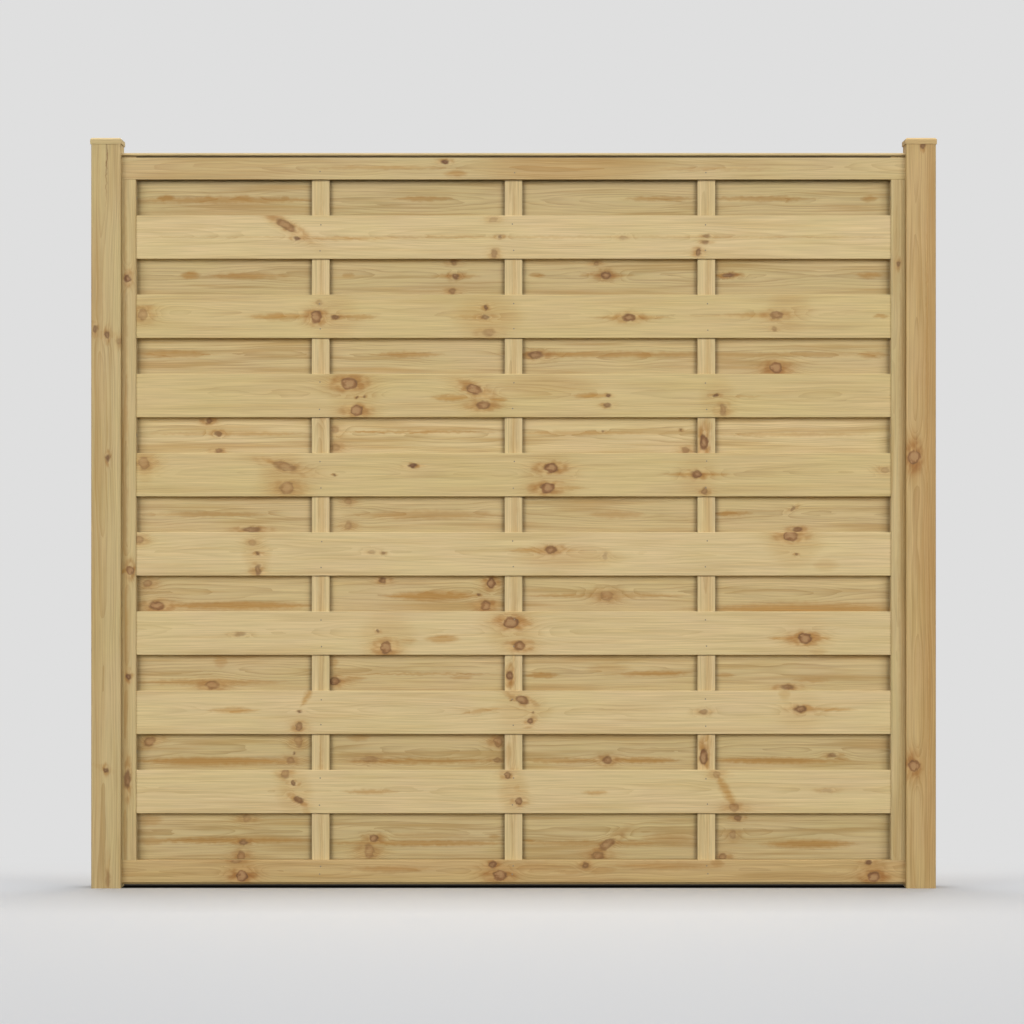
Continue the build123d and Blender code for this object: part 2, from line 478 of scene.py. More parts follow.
uneven = add(
    knotty_group,
    "Math",
    {0: given["Patch"], 1: 5.0, 2: depth},
    operation="MULTIPLY_ADD",
).outputs[0]
sound = add(
    knotty_group,
    "MapRange",
    {"Value": uneven, "From Min": 1.0, "From Max": 9.0},
    interpolation_type="SMOOTHSTEP",
).outputs[0]
heart = add(
    knotty_group,
    "Mix",
    {0: sound, 6: linear("#7F5226"), 7: linear("#A57E50")},
    data_type="RGBA",
).outputs[2]
dense = add(
    knotty_group,
    "MapRange",
    {"Value": rise, "From Min": 4.0, "From Max": 10.0, "To Min": 0.6, "To Max": 1.0},
).outputs[0]
heart = add(knotty_group, "VectorMath", {0: heart, "Scale": dense}, operation="SCALE").outputs[0]
growth = add(knotty_group, "Math", {0: depth, 1: 1.7}, operation="DIVIDE").outputs[0]
growth = add(knotty_group, "Math", {0: growth}, operation="FRACT").outputs[0]
growth = add(knotty_group, "Math", {0: growth, 1: -0.22, 2: 1.08}, operation="MULTIPLY_ADD").outputs[0]
heart = add(knotty_group, "VectorMath", {0: heart, "Scale": growth}, operation="SCALE").outputs[0]
rim = add(
    knotty_group,
    "MapRange",
    {"Value": depth, "From Min": 3.8, "From Max": 0.4},
    interpolation_type="SMOOTHSTEP",
).outputs[0]
broken = add(
    knotty_group,
    "Math",
    {0: blotch, 1: 1.5, 2: 0.45},
    operation="MULTIPLY_ADD",
    use_clamp=True,
).outputs[0]
rim = add(knotty_group, "Math", {0: rim, 1: broken}, operation="MULTIPLY").outputs[0]
branch = add(knotty_group, "Mix", {0: rim, 6: heart, 7: linear("#5C3B1C")}, data_type="RGBA").outputs[2]
colour = add(knotty_group, "Mix", {0: mark, 6: colour, 7: branch}, data_type="RGBA").outputs[2]
add(knotty_group, "NodeGroupOutput", {"Color": colour})
print("knotty wood group has", len(knotty_group.nodes), "nodes")

# %% [markdown]
# Shade gathers in the corners where a batten or a stile stands on a slat, and it is painted into the
# slat's colour there as a thin dark edge. Only the inner face of a slat has such corners. Left and right
# are alike, so the group folds the board in the middle and measures how far the nearest corner is.

# %% Painted corner shade group
# Painted shade: how far it reaches from a corner in millimetres, and how much of the colour it takes
corner_shade_reach, corner_shade_loss = 12.0, 0.4
corners = [1000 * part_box("batten_2")[1].x, 1000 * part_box("front_right_stile")[0].x]
corners += [1000 * edge.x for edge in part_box("batten_3")]
corner_shade_group, given = new_group("painted_corner_shade", {"Place": "Vector", "Inner side": "Float"}, {"Shade": "Float"})
parts = add(corner_shade_group, "SeparateXYZ", {0: given["Place"]}).outputs
folded = add(corner_shade_group, "Math", {0: parts["X"]}, operation="ABSOLUTE").outputs[0]
nearest = 1000.0
for corner in corners:
    away = add(corner_shade_group, "Math", {0: folded, 1: corner}, operation="SUBTRACT").outputs[0]
    away = add(corner_shade_group, "Math", {0: away}, operation="ABSOLUTE").outputs[0]
    nearest = add(corner_shade_group, "Math", {0: nearest, 1: away}, operation="MINIMUM").outputs[0]
loss = add(
    corner_shade_group,
    "MapRange",
    {"Value": nearest, "From Min": corner_shade_reach, "From Max": 0.0, "To Max": -corner_shade_loss},
    interpolation_type="SMOOTHSTEP",
).outputs[0]
inwards = add(corner_shade_group, "Math", {0: parts["Y"], 1: given["Inner side"]}, operation="MULTIPLY").outputs[0]
inner = add(corner_shade_group, "MapRange", {"Value": inwards, "From Min": 2.4, "From Max": 3.2}).outputs[0]
shade = add(corner_shade_group, "Math", {0: loss, 1: inner, 2: 1.0}, operation="MULTIPLY_ADD").outputs[0]
add(corner_shade_group, "NodeGroupOutput", {"Shade": shade})
print("corners at", [round(corner, 1) for corner in corners], "mm from the middle")

# %% [markdown]
# A knot or a flame is listed by where it lies along and across its board, by its half length and half
# height, by its lean and by its strength. Lengths are in millimetres from the middle of the board, with
# the grain along the first axis, whichever way the board lies in the fence. The lean is in degrees.

# %% Place on a board
TURNS = {
    "lying": Euler((0, 0, 0)),
    "upright": Euler((0, math.radians(90), 0)),
    "flat": Euler((math.radians(90), 0, 0)),
}


def mark_inputs(place, turn, along, across, half_length, half_height, lean, strength):
    """The settings of one knot or flame. An upright board is turned, so there across counts down."""
    side = -1 if turn == "upright" else 1
    return {
        "Place": place,
        "Centre": (along, 0, side * across),
        "Half size": (half_length, THROUGH, half_height),
        "Lean": side * math.radians(lean),
        "Strength": strength,
    }


# %% [markdown]
# The timber is pressure-treated pine, planed and left bare. Each board gets a material of its own, in
# which the groups above are put together. Five kinds of streaks give it its figure: patches that make
# outlines ragged, wide bands of warmer wood, slow changes of tint, fine fibres, and blotches of resin.

# %% Pine
# Streaks in millimetres along, through and across the board, and how fine their detail is
FIGURE = {
    "patch": ((15, 12, 9), 2),
    "band": ((330, 17, 17), 2),
    "tint": ((190, 60, 60), 2),
    "fibre": ((110, 2.1, 2.1), 3),
    "blotch": ((26, 30, 17), 1),
}
ragged_mm = (3.6, 0, 2.6)
fibre_height = 0.0003
seed_step = 61.0


def pine(name, turn, wood, knots=(), flames=(), pith=(34, 3), ring=3.4, contrast=0.65, heart=0.3, inner=0):
    """Dresses one board in its own pine, with its knots and flames.

    The pith lies so far behind the face and so far above its middle. A slat names its inner side, -1
    where that looks to the front and 1 to the back, and gets painted shade in the corners there.
    """
    low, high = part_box(name)
    middle = TURNS[turn].to_matrix() @ ((low + high) * 500)
    seed = (seed_step * (1 + sorted(nodes).index(name)), 0, 0)
    material, tree, place = new_material("planed_pine_" + name)
    place = add(
        tree,
        "Mapping",
        {"Vector": place, "Location": -middle, "Rotation": TURNS[turn], "Scale": (1000, 1000, 1000)},
    ).outputs[0]

    figure = {}
    for title, (size, detail) in FIGURE.items():
        figure[title] = streaks(tree, place, seed, size, detail)

    # Knots and flames have ragged outlines, so they see a slightly shaken place
    shaken = add(
        tree,
        "VectorMath",
        {0: figure["patch"]["Color"], 1: ragged_mm, 2: place},
        operation="MULTIPLY_ADD",
    ).outputs[0]
    fields, halo, level = (0, -1000, 0), 0.0, 0.0
    for knot in knots:
        inputs = {"Fields": fields, "Halo": halo, **mark_inputs(shaken, turn, *knot)}
        fields, halo = add(tree, "Group", node_tree=knot_group, inputs=inputs).outputs
    for flame in flames:
        inputs = {"Level": level, **mark_inputs(shaken, turn, *flame)}
        level = add(tree, "Group", node_tree=flame_group, inputs=inputs).outputs[0]
    rise = add(tree, "SeparateXYZ", {0: fields}).outputs["X"]
    lifted = {"Value": rise, "From Min": 0.8, "From Max": 9, "To Max": 0.5}
    pull = add(tree, "MapRange", lifted).outputs[0]

    rings = {"Place": place, "Seed": seed, "Pith": (0, pith[0], -pith[1]), "Ring width": ring, "Rise": rise}
    late = add(tree, "Group", node_tree=ring_group, inputs=rings).outputs[0]
    clear = {
        "Wood": linear(wood),
        "Latewood": late,
        "Contrast": contrast,
        "Heart": heart,
        "Band": figure["band"]["Fac"],
        "Tint": figure["tint"]["Fac"],
        "Fibre": figure["fibre"]["Fac"],
        "Flame": level,
        "Pull": pull,
    }
    clear = add(tree, "Group", node_tree=wood_group, inputs=clear).outputs[0]
    knotty = {
        "Clear": clear,
        "Fields": fields,
        "Halo": halo,
        "Patch": figure["patch"]["Fac"],
        "Blotch": figure["blotch"]["Fac"],
    }
    colour = add(tree, "Group", node_tree=knotty_group, inputs=knotty).outputs[0]
    # Painted shade darkens the inner face of a slat towards each corner
    if inner:
        corner_shade_inputs = {"Place": place, "Inner side": inner}
        shade = add(tree, "Group", node_tree=corner_shade_group, inputs=corner_shade_inputs).outputs[0]
        colour = add(tree, "VectorMath", {0: colour, "Scale": shade}, operation="SCALE").outputs[0]

    # Planed wood is matt, with fibres that stand a hair above the rest
    fibres = {"Strength": 0.3, "Distance": fibre_height, "Height": figure["fibre"]["Fac"]}
    relief = add(tree, "Bump", fibres).outputs[0]
    matt = add(tree, "MapRange", {"Value": late, "To Min": 0.68, "To Max": 0.55}).outputs[0]
    surface = add(
        tree,
        "BsdfPrincipled",
        {"Base Color": colour, "Roughness": matt, "IOR": 1.5, "Normal": relief},
    )
    add(tree, "OutputMaterial", {"Surface": surface.outputs[0]})
    nodes[name].data.materials.clear()
    nodes[name].data.materials.append(material)


# %% [markdown]
# Five tones of treated pine are enough for the whole fence, from the palest to the warmest. Each board
# takes one of them, and its streaks, knots and flames set it apart from its neighbours.

# %% Tones
PALE, STRAW, TAN, DULL, AMBER = "#C8B280", "#C2AC76", "#BEA876", "#B9A472", "#B89C66"
print("tones of pine from", PALE, "to", AMBER)

# %% [markdown]
# The eight front slats are the face of the panel. Their knots are listed board by board, in
# millimetres from the middle of the slat, so each board keeps its own character.

# %% Front slats
FRONT_KNOTS = {
    1: [
        (-522, 27, 25, 9, -32, 0.7),
        (-497, -3, 7, 4.5, 0, 0.9),
        (-46, 40, 8, 6, 0, 0.3),
        (-32, 1, 5, 4, 0, 0.7),
        (-45, -38, 6, 10, 0, 0.5),
        (443, 2.5, 9, 3, 0, 0.6),
        (441, -11, 7, 4, 0, 0.6),
        (425, -35, 6, 9, 0, 0.8),
        (252, -1, 8, 4, 0, 0.3),
    ],
    2: [
        (-851, 5, 11, 14, 0, 0.5),
        (-453, -1.5, 11, 14, 0, 0.9),
        (-409, -1.5, 9, 5, 0, 0.8),
        (-446, 30, 7, 6, 0, 0.3),
        (-63, 21, 5, 6, 0, 0.9),
        (-64, -1.5, 9, 5, 0, 0.7),
        (-57, -37, 14, 8, 0, 0.35),
        (265, -3, 14, 9, 0, 0.9),
        (604, 3, 15, 9, 0, 0.7),
        (600, -29, 6, 5, 0, 0.4),
    ],
    3: [
        (-378, 28, 18, 14, 0, 0.9),
        (-360, -34, 14, 12, 0, 0.9),
        (-359, -3.5, 3, 3, 0, 0.8),
        (-343, -2.5, 3, 3, 0, 0.8),
        (-90, 14, 18, 11, -20, 0.85),
        (-70, -22, 16, 10, 0, 0.8),
        (219, 0, 5, 4, 0, 0.9),
        (216, -22, 8, 5, 0, 0.7),
        (465, 0, 6, 4, 0, 0.9),
        (481, -32, 8, 13, 0, 0.5),
    ],
    4: [
        (-849, 27, 12, 14, 0, 0.5),
        (-526, 20, 26, 9, -15, 0.5),
        (-521, -30, 16, 14, 0, 0.5),
        (-411, 0, 3, 2.5, 0, 0.8),
        (-233, 21, 9, 5, 0, 1.0),
        (86, 16, 16, 10.5, 0, 0.95),
        (78, -30, 16, 12, 0, 0.95),
        (421, 1, 13, 9, 0, 0.9),
        (439, -37, 7, 9, 0, 0.6),
        (854, 11, 9, 7, 0, 0.35),
    ],
    5: [
        (-859, 33, 9, 9, 0, 0.5),
        (-600, 26, 8, 8, 0, 0.3),
        (-587, 1, 5, 3, 0, 0.8),
        (-587, -37, 7, 12, 0, 0.7),
        (-300, 2, 4, 3, 0, 0.6),
        (-325, 5, 8, 5, 0, 0.3),
        (86, 10, 12, 9, 0, 0.8),
        (211, -5, 5, 9, 0, 0.3),
        (637, 41, 16, 12, 0, 0.9),
        (650, 0, 3, 3, 0, 0.7),
    ],
    6: [
        (-628, -2, 12, 4, 0, 0.4),
        (-311, 5, 4, 4, 0, 0.8),
        (-293, -33, 13, 15, 0, 0.85),
        (-6, 24, 16.5, 13.5, 0, 1.0),
        (13, -29, 13, 11, 0, 0.85),
        (669, -12, 16, 12, 0, 0.95),
    ],
    7: [
        (-491, 2, 5, 3, 0, 0.8),
        (-492, -33, 8, 10, 0, 0.7),
        (20, 29, 15, 9, -25, 0.85),
        (-4, 28, 2, 2, 0, 0.8),
        (44, 0, 2.5, 2.5, 0, 0.7),
        (39, -20, 7, 8, 45, 0.9),
        (437, 2, 9, 6, 0, 0.5),
        (659, 8, 14, 8, 0, 0.9),
    ],
    8: [
        (-524, 42, 8, 12, 0, 0.5),
        (-506, 19, 6, 6, 0, 0.9),
        (-494, -18, 11, 7, -30, 0.85),
        (-13, 38, 8, 8, 0, 0.8),
        (13, -22, 8, 8, 0, 0.85),
        (467, 40, 9, 8, 0, 0.4),
        (507, -36, 11, 9, 0, 0.45),
        (720, 3, 12, 4, 0, 0.25),
    ],
}
FRONT_FLAMES = {
    1: [(-400, -3, 95, 4, 0, 0.6), (0, 0, 860, 2.5, 0, 0.35)],
    2: [
        (-413, 0, 60, 45, 0, 0.3),
        (-61, 0, 75, 45, 0, 0.4),
        (633, 15, 50, 40, 0, 0.3),
        (-530, -1, 75, 7, 0, 0.8),
        (-360, -1, 45, 5, 0, 0.7),
        (-100, -1, 36, 6, 0, 0.6),
        (265, -3, 80, 6, 0, 0.7),
        (575, 3, 95, 6, 0, 0.6),
        (845, 0, 18, 4, 0, 0.7),
    ],
    3: [
        (-365, 0, 55, 45, 0, 0.3),
        (-80, 0, 60, 40, 0, 0.3),
        (70, 22, 120, 22, 0, 0.35),
        (-142, -5, 44, 7, 0, 0.8),
        (-36, -9, 22, 6, 0, 0.8),
        (176, 0, 42, 6, 0, 0.8),
        (470, -5, 40, 40, 0, 0.25),
        (520, -2, 60, 3, 0, 0.4),
    ],
    4: [
        (-525, 0, 55, 45, 0, 0.4),
        (-845, 20, 25, 30, 0, 0.4),
        (86, 0, 60, 45, 0, 0.3),
        (421, 0, 50, 40, 0, 0.25),
        (-545, 25, 40, 7, -20, 0.6),
        (110, -30, 55, 5, 0, 0.6),
        (421, 1, 70, 5, 0, 0.8),
    ],
    5: [
        (-590, 0, 30, 45, 0, 0.3),
        (130, -8, 120, 22, 0, 0.35),
        (645, 20, 60, 40, 0, 0.3),
        (50, 8, 60, 6, 0, 0.7),
        (120, 8, 50, 4, 0, 0.5),
        (717, -25, 30, 12, 0, 0.3),
    ],
    6: [
        (0, 0, 60, 45, 0, 0.3),
        (-290, 0, 60, 45, 0, 0.25),
        (669, -10, 60, 35, 0, 0.2),
        (-163, -13, 38, 8, 0, 0.7),
        (-246, -17, 22, 7, 0, 0.5),
        (-37, 21, 18, 12, 0, 0.5),
        (35, -22, 14, 12, 0, 0.4),
        (617, -12, 35, 4, 0, 0.7),
        (705, -11, 26, 5, 0, 0.7),
        (698, -42, 22, 8, 0, 0.35),
    ],
    7: [
        (20, 5, 60, 45, 0, 0.25),
        (659, 0, 55, 40, 0, 0.2),
        (-645, 5, 55, 6, 0, 0.7),
        (-475, 37, 25, 6, 60, 0.7),
        (-71, 4, 48, 4, 8, 0.6),
        (623, 42, 14, 14, 0, 0.4),
        (731, 7, 50, 4, 0, 0.7),
    ],
    8: [
        (-505, 0, 40, 48, 0, 0.3),
        (0, 0, 32, 48, 0, 0.35),
        (-330, 0, 58, 5, 0, 0.7),
        (-477, -43, 12, 8, -40, 0.4),
        (7, 8, 10, 12, 0, 0.5),
        (189, -2, 28, 5, 0, 0.7),
        (488, 2, 50, 9, -62, 0.8),
    ],
}
FRONT_WOOD = {
    1: PALE,
    2: STRAW,
    3: STRAW,
    4: STRAW,
    5: PALE,
    6: PALE,
    7: PALE,
    8: PALE,
}
for number, knots in FRONT_KNOTS.items():
    pine(f"front_slat_{number}", "lying", FRONT_WOOD[number], knots, FRONT_FLAMES[number], inner=1)
print(sum(len(k) for k in FRONT_KNOTS.values()), "knots on the front slats")

# %% [markdown]
# The nine back slats show through the gaps. They were cut nearer the heart of the tree, so brown and
# orange streaks run along their middles.

# %% Back slats
BACK_KNOTS = {
    1: [],
    2: [
        (-134, 3, 8, 6, 0, 0.9),
        (-138, 34, 8, 6, 0, 0.6),
        (-140, -32, 8, 6, 0, 0.6),
        (496, 5, 13, 5, 0, 0.9),
        (213, 4.5, 12, 9, 0, 0.9),
        (191, 31, 7, 6, 0, 0.5),
    ],
    3: [(51, 3.5, 17, 8, 0, 0.8), (605, -26, 14, 13, 0, 0.9)],
    4: [
        (-680, 4, 8, 6, 0, 0.7),
        (-702, 34, 8, 7, 0, 0.8),
        (-680, -36, 8, 6, 0, 0.6),
        (-410, 12, 8, 8, 0, 0.35),
        (-410, -28, 8, 8, 0, 0.35),
        (206, 9, 3, 3, 0, 0.7),
        (386, 13, 3, 3, 0, 0.7),
        (396, -34, 8, 7, 0, 0.5),
    ],
    5: [
        (-603, -35, 20, 6, 0, 0.7),
        (-380, 30, 8, 8, 0, 0.35),
        (-380, -25, 8, 8, 0, 0.35),
        (643, 13, 7, 4, 30, 0.6),
        (656, -35, 11, 6, 0, 0.8),
    ],
    6: [
        (-842, 23, 10, 9, 0, 0.5),
        (-821, -28, 17, 10, 0, 0.9),
        (-300, 30, 8, 7, 0, 0.8),
        (-51, 24, 9, 13, 0, 1.0),
        (-64, -28, 12, 11, 0, 0.8),
        (-79, -3, 3, 3, 0, 0.8),
        (216, -5, 14, 11, 0, 0.4),
    ],
    7: [(-693, -29, 15, 10, 0, 0.6), (-412, -20, 12, 9, 0, 0.9), (630, -34, 15, 6, 0, 0.7)],
    8: [
        (-838, 23, 14, 10, 20, 0.6),
        (-514, -21, 10, 8, 0, 0.5),
        (-506, -4, 3, 3, 0, 0.8),
        (-495, 23, 9, 14, 0, 0.4),
        (-330, -18, 20, 7, 0, 0.35),
        (-35, 22, 10, 12, 0, 0.6),
        (-37, -20, 9, 6, 0, 0.5),
        (216, -20, 11, 9, 0, 0.8),
        (735, -9, 10, 5, 0, 0.6),
    ],
    9: [
        (-621, -19, 9, 6, 0, 0.8),
        (-627, -51, 9, 12, 0, 0.6),
        (-615, 36, 10, 8, 0, 0.4),
        (-322, -10, 10, 9, 0, 0.85),
        (-333, -39, 12, 16, 0, 0.45),
        (216, -24, 20, 9, 35, 0.7),
        (194, -50, 14, 9, 0, 0.6),
        (517, 37, 8, 6, 0, 0.7),
        (506, -2, 7, 10, 0, 0.45),
        (482, -54, 8, 9, 0, 0.6),
    ],
}
BACK_FLAMES = {
    1: [
        (-661, 5, 200, 7, 0, 0.8),
        (-640, -22, 210, 12, 0, 0.3),
        (340, 8, 80, 5, 0, 0.7),
        (572, 8, 120, 5, 0, 0.65),
        (-800, 8, 24, 7, 0, 1.0),
        (-702, 8, 20, 6, 0, 0.8),
        (-628, 8, 34, 7, 0, 0.9),
        (-526, 8, 12, 5, 0, 0.7),
        (-208, 8, 64, 5, 0, 0.7),
        (292, 8, 18, 5, 0, 0.7),
        (529, 8, 16, 5, 0, 0.7),
        (615, 8, 29, 6, 0, 0.8),
        (819, 8, 18, 6, 0, 0.8),
    ],
    2: [
        (-744, 5, 22, 8, 0, 0.9),
        (-610, 4, 95, 7, 0, 0.7),
        (-134, 3, 50, 6, 0, 0.7),
        (-381, 5, 14, 5, 0, 0.6),
        (54, 5, 18, 5, 0, 0.7),
        (213, 5, 60, 5, 0, 0.7),
        (491, 5, 30, 7, 0, 1.0),
        (819, 5, 30, 6, 0, 0.8),
    ],
    3: [
        (-780, 5, 90, 7, 0, 0.7),
        (210, 5, 200, 7, 0, 0.65),
        (640, 4, 200, 5, 0, 0.4),
        (-806, 5, 13, 5, 0, 0.8),
        (-730, 5, 24, 6, 0, 0.8),
        (-243, 4, 76, 6, 0, 0.8),
        (107, 4, 22, 6, 0, 0.8),
        (178, 4, 12, 5, 0, 0.7),
        (302, 4, 38, 6, 0, 0.8),
        (828, 4, 38, 6, 0, 0.7),
    ],
    4: [
        (-660, 4, 190, 4, 0, 0.5),
        (-230, 8, 190, 3, 0, 0.7),
        (150, 6, 140, 5, 0, 0.5),
        (640, 2, 180, 4, 0, 0.45),
    ],
    5: [
        (-200, -1, 170, 9, 0, 0.6),
        (238, 0, 60, 8, 0, 0.6),
        (501, 2, 45, 6, 0, 0.8),
        (-700, 0, 150, 5, 0, 0.5),
    ],
    6: [
        (-640, -28, 190, 8, 0, 0.9),
        (-185, -6, 105, 10, 0, 1.0),
        (216, -5, 185, 5, 0, 0.6),
        (666, -36, 240, 13, 0, 0.85),
    ],
    7: [
        (-700, -22, 160, 6, 0, 0.7),
        (-676, 26, 16, 12, 0, 0.5),
        (-416, 23, 12, 12, 0, 0.5),
        (-369, -14, 28, 6, 0, 0.6),
        (-190, -4, 160, 2.5, 0, 0.6),
        (-119, -11, 25, 5, 0, 0.5),
        (66, -6, 36, 6, 0, 0.9),
        (220, 8, 50, 12, 0, 0.4),
        (273, -4, 30, 5, 0, 0.5),
        (320, -2, 90, 5, 0, 0.8),
        (486, -6, 22, 5, 0, 0.5),
        (690, -18, 45, 5, 0, 0.5),
    ],
    8: [
        (-690, -22, 190, 8, 0, 0.95),
        (-357, 32, 25, 8, 0, 0.5),
        (-210, -22, 180, 6, 0, 0.85),
        (120, -21, 120, 5, 0, 0.7),
        (295, -20, 85, 6, 0, 0.9),
        (600, -21, 160, 6, 0, 0.95),
        (755, -18, 20, 4, 0, 0.6),
    ],
    9: [
        (-838, 32, 30, 10, 0, 0.5),
        (-838, -17, 35, 8, 0, 0.6),
        (-650, -15, 200, 6, 0, 0.9),
        (-210, -21, 195, 6, 0, 0.85),
        (-200, -5, 100, 8, 0, 0.35),
        (-44, -6, 15, 4, 0, 0.6),
        (35, -16, 16, 3.5, 0, 0.7),
        (220, -21, 190, 6, 0, 0.7),
        (359, -12, 60, 12, 0, 0.6),
        (680, -23, 100, 9, 0, 0.95),
    ],
}
BACK_WOOD = {
    1: DULL,
    2: DULL,
    3: TAN,
    4: PALE,
    5: TAN,
    6: TAN,
    7: TAN,
    8: DULL,
    9: DULL,
}
for number, knots in BACK_KNOTS.items():
    name = f"back_slat_{number}"
    pine(name, "lying", BACK_WOOD[number], knots, BACK_FLAMES[number], contrast=1.25, heart=0.85, inner=-1)
print(sum(len(k) for k in BACK_KNOTS.values()), "knots on the back slats")

# %% [markdown]
# Rails, stiles and the capping strip frame the slats. They are planed from the same pine, a shade
# darker than the slats.

# %% Rails, stiles and capping
TOP_WOOD, BOTTOM_WOOD, STILE_WOOD = TAN, AMBER, DULL
pine(
    "front_top_rail",
    "lying",
    TOP_WOOD,
    [(-158, 16, 8, 5, 0, 1.0)],
    [
        (-131, -11, 26, 8, 0, 0.7),
        (-700, 0, 200, 40, 0, 0.25),
        (-300, 2, 180, 4, 0, 0.4),
        (130, 4, 210, 40, 0, 0.55),
        (420, 0, 220, 4, 0, 0.4),
    ],
    contrast=0.9,
    heart=0.5,
)
pine(
    "front_bottom_rail",
    "lying",
    BOTTOM_WOOD,
    [
        (-623, -8, 13, 12, 0, 1.0),
        (-636, 26, 10, 5, 0, 0.5),
        (-48, 18, 8, 8, 0, 0.9),
        (-31, -7, 15, 12, 0, 0.9),
        (165, 16, 7, 8, 0, 0.7),
        (814, 23, 8, 5, 0, 0.9),
        (828, -10, 13, 12, 0, 1.0),
    ],
    [
        (-625, 0, 35, 40, 0, 0.45),
        (-280, 8, 90, 6, 0, 0.5),
        (-40, 0, 42, 36, 0, 0.5),
        (30, 12, 130, 9, 0, 0.45),
        (350, 15, 120, 8, 0, 0.5),
        (826, 0, 34, 36, 0, 0.4),
        (127, 1, 30, 5, 0, 0.4),
        (198, 5, 36, 8, 0, 0.4),
        (467, 20, 16, 8, 0, 0.6),
        (358, 16, 60, 5, 0, 0.4),
    ],
    contrast=0.9,
    heart=0.6,
)
pine("back_top_rail", "lying", TOP_WOOD, [(310, -4, 12, 9, 0, 0.8), (-520, 8, 9, 7, 0, 0.7)])
pine("back_bottom_rail", "lying", BOTTOM_WOOD, [(-240, 3, 14, 10, 0, 0.8), (610, -6, 10, 8, 0, 0.7)])
pine("top_capping", "flat", TOP_WOOD)
STILE_KNOTS = {
    "front_left_stile": [
        (554, -2, 8, 8, 0, 1.0),
        (-115, 3, 9, 9, 0, 0.9),
        (-360, 0, 7, 6, 0, 1.0),
        (-595, -3, 20, 7, 0, 0.8),
    ],
    "front_right_stile": [(588, 0, 6, 5, 0, 0.7)],
    "back_left_stile": [(120, 2, 9, 8, 0, 0.7)],
    "back_right_stile": [(-330, -3, 8, 8, 0, 0.7)],
}
STILE_FLAMES = {
    "front_left_stile": [(-115, 0, 20, 8, 70, 0.9), (-358, 4, 10, 7, 80, 0.6), (0, -9, 860, 6, 0, 0.45)],
    "front_right_stile": [(0, 9, 860, 7, 0, 0.35)],
}
for name, knots in STILE_KNOTS.items():
    pine(name, "upright", STILE_WOOD, knots, STILE_FLAMES.get(name, ()), pith=(18, 6), heart=0.6)
print("four rails,", len(STILE_KNOTS), "stiles and the capping strip dressed")

# %% [markdown]
# The core battens show as short uprights between the slats, and are as pale as the front slats. Of the
# two core rails only the edge in the slot under the capping can be seen, and a darker wood tone there is
# painted shade for the slot.

# %% Core
# The core rails take a darker tone of wood as painted shade for the slot under the capping
CORE_WOOD, SLOT_SHADE_WOOD = PALE, "#80704C"
BATTEN_KNOTS = {
    1: [(250, 4, 8, 7, 0, 0.6)],
    2: [(-358, -8, 10, 8, 0, 1.0), (-590, 2, 10, 7, 0, 0.6)],
    3: [(178, -6, 17, 9.5, 0, 1.0), (-545, -6, 17, 9.5, 0, 1.0)],
}
# The first, long flame of each batten keeps both its edges paler: painted highlight over the grain
BATTEN_FLAMES = {
    1: [(0, 2, 820, 7, 0, 0.35), (-560, 0, 70, 4, 0, 0.5)],
    2: [(0, 1, 820, 7, 0, 0.35), (-540, -11, 26, 6, 0, 0.5), (-358, -6, 30, 10, 0, 0.7)],
    3: [(0, 3, 820, 8, 0, 0.35), (215, 2, 26, 9, 0, 0.6), (-508, 2, 26, 9, 0, 0.6)],
}
for number, knots in BATTEN_KNOTS.items():
    pine(f"batten_{number}", "upright", CORE_WOOD, knots, BATTEN_FLAMES[number], pith=(22, 5))
for name in ("left_end_batten", "right_end_batten"):
    pine(name, "upright", CORE_WOOD, pith=(22, 5))
for name in ("core_top_rail", "core_bottom_rail"):
    pine(name, "lying", SLOT_SHADE_WOOD, pith=(20, 4))
print(len(BATTEN_KNOTS), "inner battens, two end battens and two core rails dressed")

# %% [markdown]
# The two posts come from different trees: the left one is dull, and the right one is warmer. The left
# post has a drying check, a thin crack that starts at its top.

# %% Posts and caps
POST_KNOTS = {
    "left": [
        (429, -25, 8, 5.5, 0, 0.8),
        (416, 2, 8, 6, 0, 0.9),
        (401, 31, 7, 6, 0, 0.4),
        (133, 4, 7, 5, 0, 0.9),
        (-582, 0, 6, 5, 0, 0.9),
        (-830, 5, 20, 5, 0, 0.35),
        (833, 1, 40, 0.8, 0, 0.9),
    ],
    "right": [
        (849, 4, 6, 5, 0, 0.8),
        (136, -16, 15, 15, 0, 0.9),
        (-572, -17, 13, 13, 0, 0.9),
    ],
}
POST_FLAMES = {
    "left": [(0, -20, 900, 17, 0, 0.3), (416, -10, 12, 30, 0, 0.4), (-575, -12, 10, 24, 20, 0.4)],
    "right": [
        (0, 24, 900, 26, 0, 0.4),
        (300, 14, 420, 4, 0, 0.55),
        (-300, 20, 380, 5, 0, 0.55),
        (136, 10, 30, 22, 0, 0.4),
    ],
}
POST_WOOD = {"left": DULL, "right": AMBER}
for side, knots in POST_KNOTS.items():
    wood, flames = POST_WOOD[side], POST_FLAMES[side]
    pine(f"{side}_post", "upright", wood, knots, flames, pith=(48, 10), ring=5, contrast=1.0, heart=0.5)
    pine(f"{side}_post_cap", "flat", wood, pith=(30, 4))
print(len(POST_KNOTS), "posts and their caps dressed")

# %% [markdown]
# The screws that hold the panel to the posts are zinc plated. Zinc is a grey metal, a little uneven
# and not very shiny.

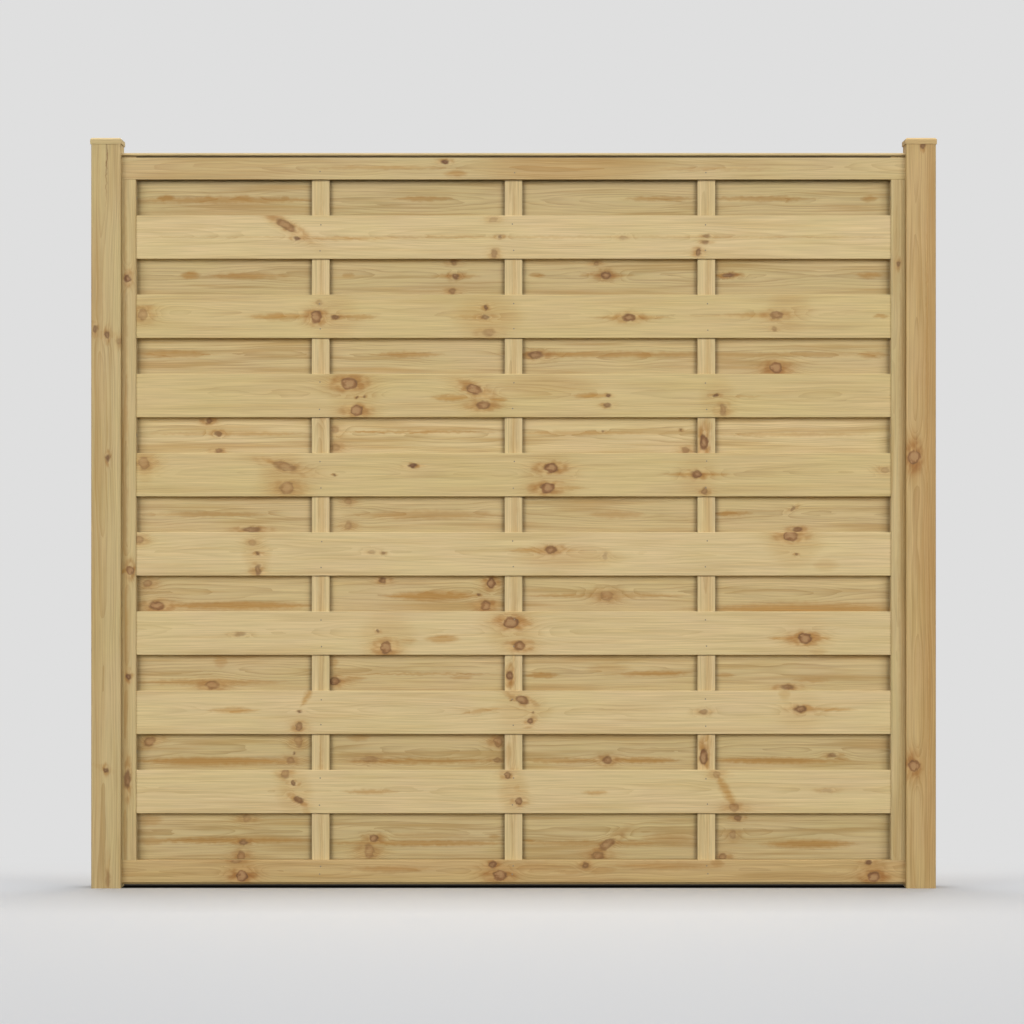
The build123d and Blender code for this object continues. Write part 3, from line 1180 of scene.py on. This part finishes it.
# %% Fixing screws
# Steel under a thin grey coat of zinc
zinc, tree, place = new_material("zinc_plated_steel")
cloud = add(tree, "TexNoise", {"Vector": place, "Scale": 900.0, "Detail": 2}).outputs[0]
tones = {0: cloud, 6: linear("#8E8B80"), 7: linear("#B4B2A8")}
colour = add(tree, "Mix", tones, data_type="RGBA").outputs[2]
dull = add(tree, "MapRange", {"Value": cloud, "To Min": 0.35, "To Max": 0.55}).outputs[0]
surface = add(tree, "BsdfPrincipled", {"Base Color": colour, "Metallic": 1.0, "Roughness": dull})
add(tree, "OutputMaterial", {"Surface": surface.outputs[0]})
for name in ("left_fixing_screws", "right_fixing_screws"):
    nodes[name].data.materials.clear()
    nodes[name].data.materials.append(zinc)
    print(name, "in", zinc.name)

# %% [markdown]
# Small nails hold the slats and rails to the battens. Only their heads show: flat discs of dull zinc,
# driven almost flush. They stand on the middle line of each batten, in pairs on the slats and the
# bottom rail and singly on the top rail. A head is a short tapered cylinder, and all heads of one face
# are joined in one mesh.

# %% Nails
head_radius, head_height, head_proud = 0.0018, 0.0006, 0.00015
head_taper, head_sides = 0.9, 12
slip_along, slip_up = 0.003, 0.002
slat_pair, top_rail_nail, bottom_rail_pair = (-0.03, 0.03), (-0.008,), (-0.004, 0.0145)
batten_lines = [(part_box(f"batten_{n}")[0].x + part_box(f"batten_{n}")[1].x) / 2 for n in (1, 2, 3)]
shift = random.Random(7)


def nails(name, boards, face):
    """Nail heads on one face of the panel: -1 is the front and 1 the back."""
    heads = bmesh.new()
    for board, steps in boards:
        low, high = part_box(board)
        surface_y = low.y if face < 0 else high.y
        head_y = surface_y + face * (head_proud - head_height / 2)
        middle_z = (low.z + high.z) / 2
        for x in batten_lines:
            for step in steps:
                along = x + shift.uniform(-slip_along, slip_along)
                up = middle_z + step + shift.uniform(-slip_up, slip_up)
                spot = Matrix.Translation((along, head_y, up))
                bmesh.ops.create_cone(
                    heads,
                    cap_ends=True,
                    segments=head_sides,
                    radius1=head_radius,
                    radius2=head_taper * head_radius,
                    depth=head_height,
                    matrix=spot @ Matrix.Rotation(math.radians(-90 * face), 4, "X"),
                )
    mesh = bpy.data.meshes.new(name)
    heads.to_mesh(mesh)
    heads.free()
    piece = bpy.data.objects.new(name, mesh)
    bpy.context.scene.collection.objects.link(piece)
    mesh.materials.append(dull_zinc)
    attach(piece, "root")
    print(name, len(mesh.polygons), "faces")


# Zinc that the weather has turned dull and brownish
dull_zinc, tree, place = new_material("weathered_zinc")
cloud = add(tree, "TexNoise", {"Vector": place, "Scale": 700.0, "Detail": 2}).outputs[0]
tones = {0: cloud, 6: linear("#776C58"), 7: linear("#948973")}
colour = add(tree, "Mix", tones, data_type="RGBA").outputs[2]
surface = add(tree, "BsdfPrincipled", {"Base Color": colour, "Metallic": 0.4, "Roughness": 0.6})
add(tree, "OutputMaterial", {"Surface": surface.outputs[0]})
for side, count, face in (("front", 8, -1), ("back", 9, 1)):
    boards = [(f"{side}_slat_{n}", slat_pair) for n in range(1, count + 1)]
    boards += [(f"{side}_top_rail", top_rail_nail), (f"{side}_bottom_rail", bottom_rail_pair)]
    nails(f"{side}_nails", boards, face)
